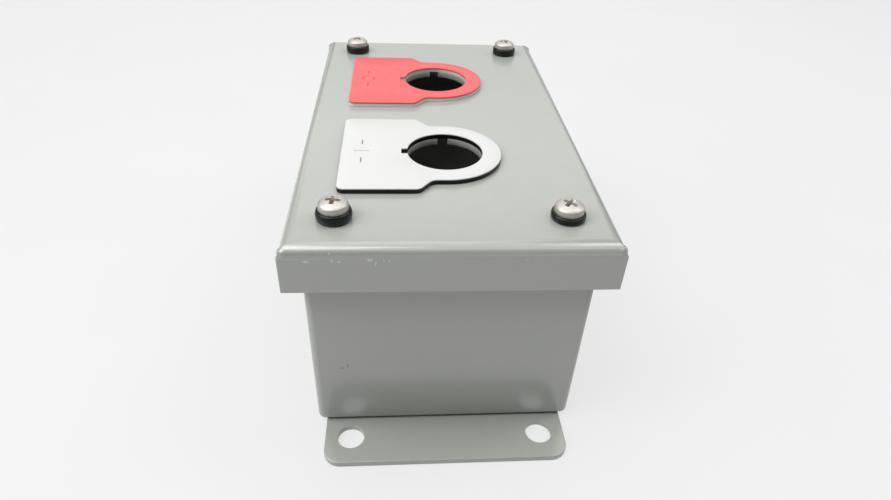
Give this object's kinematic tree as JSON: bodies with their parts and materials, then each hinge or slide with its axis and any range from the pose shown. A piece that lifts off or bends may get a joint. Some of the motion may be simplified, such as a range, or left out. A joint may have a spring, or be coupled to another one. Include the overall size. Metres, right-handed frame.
{
  "type": "push button station enclosure",
  "caption": "Grey sheet-steel push button station box with external feet, sealed screw cover and keyed 22 mm button holes with legend plates.",
  "frame": {"origin": "on the mounting surface under the feet, below the middle of the box", "axes": "+Z out of the cover, +Y along the station towards the end that the button holes' key slots face, +X to the right as seen from in front of the cover"},
  "size_m": [0.0866, 0.1704, 0.0768],
  "materials": {
    "grey_paint": "semi-gloss light grey powder coat",
    "bracket_paint": "the same grey coat, inside the box",
    "legend_white": "satin white laminate face",
    "legend_black": "black laminate core",
    "legend_red": "satin red laminate face",
    "legend_core_white": "off-white laminate core",
    "screw_steel": "nickel-plated, lightly tarnished",
    "plated_steel": "zinc-plated",
    "seal_rubber": "smooth black rubber",
    "gasket_rubber": "closed-cell foam rubber",
    "retainer_nylon": "natural nylon"
  },
  "bodies": {
    "enclosure": {"box_body": "grey_paint", "lower_mounting_foot": "grey_paint", "upper_mounting_foot": "grey_paint", "corner_bracket_lower_left": "bracket_paint", "corner_bracket_lower_right": "bracket_paint", "corner_bracket_upper_left": "bracket_paint", "corner_bracket_upper_right": "bracket_paint", "bonding_stud": "plated_steel", "bonding_lock_washer": "plated_steel", "bonding_nut": "plated_steel"},
    "cover": {"cover": "grey_paint", "cover_gasket": "gasket_rubber", "start_legend_core": "legend_black", "start_legend_face": "legend_white", "stop_legend_core": "legend_core_white", "stop_legend_face": "legend_red"},
    "seal_lower_left": {"sealing_washer_lower_left": "seal_rubber", "retaining_washer_lower_left": "retainer_nylon"},
    "screw_lower_left": {"cover_screw_lower_left": "screw_steel"},
    "seal_lower_right": {"sealing_washer_lower_right": "seal_rubber", "retaining_washer_lower_right": "retainer_nylon"},
    "screw_lower_right": {"cover_screw_lower_right": "screw_steel"},
    "seal_upper_left": {"sealing_washer_upper_left": "seal_rubber", "retaining_washer_upper_left": "retainer_nylon"},
    "screw_upper_left": {"cover_screw_upper_left": "screw_steel"},
    "seal_upper_right": {"sealing_washer_upper_right": "seal_rubber", "retaining_washer_upper_right": "retainer_nylon"},
    "screw_upper_right": {"cover_screw_upper_right": "screw_steel"}
  },
  "joints": [
    {"name": "cover_lift", "type": "slide", "parent": "enclosure", "child": "cover", "axis": [0, 0, 1], "range_m": [0, 0.05]},
    {"name": "screw_rise_lower_left", "type": "slide", "parent": "cover", "child": "seal_lower_left", "axis": [0, 0, 1], "range_m": [0, 0.00476]},
    {"name": "screw_turn_lower_left", "type": "hinge", "parent": "seal_lower_left", "child": "screw_lower_left", "pos_m": [-0.03015, -0.0614, 0.0713], "axis": [0, 0, 1], "range_deg": [0, 2160]},
    {"name": "screw_rise_lower_right", "type": "slide", "parent": "cover", "child": "seal_lower_right", "axis": [0, 0, 1], "range_m": [0, 0.00476]},
    {"name": "screw_turn_lower_right", "type": "hinge", "parent": "seal_lower_right", "child": "screw_lower_right", "pos_m": [0.03015, -0.0614, 0.0713], "axis": [0, 0, 1], "range_deg": [0, 2160]},
    {"name": "screw_rise_upper_left", "type": "slide", "parent": "cover", "child": "seal_upper_left", "axis": [0, 0, 1], "range_m": [0, 0.00476]},
    {"name": "screw_turn_upper_left", "type": "hinge", "parent": "seal_upper_left", "child": "screw_upper_left", "pos_m": [-0.03015, 0.0614, 0.0713], "axis": [0, 0, 1], "range_deg": [0, 2160]},
    {"name": "screw_rise_upper_right", "type": "slide", "parent": "cover", "child": "seal_upper_right", "axis": [0, 0, 1], "range_m": [0, 0.00476]},
    {"name": "screw_turn_upper_right", "type": "hinge", "parent": "seal_upper_right", "child": "screw_upper_right", "pos_m": [0.03015, 0.0614, 0.0713], "axis": [0, 0, 1], "range_deg": [0, 2160]}
  ],
  "couplings": [
    {"joint": "screw_turn_lower_left", "follows": "screw_rise_lower_left", "rad_per_m": 7915.8},
    {"joint": "screw_turn_lower_right", "follows": "screw_rise_lower_right", "rad_per_m": 7915.8},
    {"joint": "screw_turn_upper_left", "follows": "screw_rise_upper_left", "rad_per_m": 7915.8},
    {"joint": "screw_turn_upper_right", "follows": "screw_rise_upper_right", "rad_per_m": 7915.8}
  ]
}
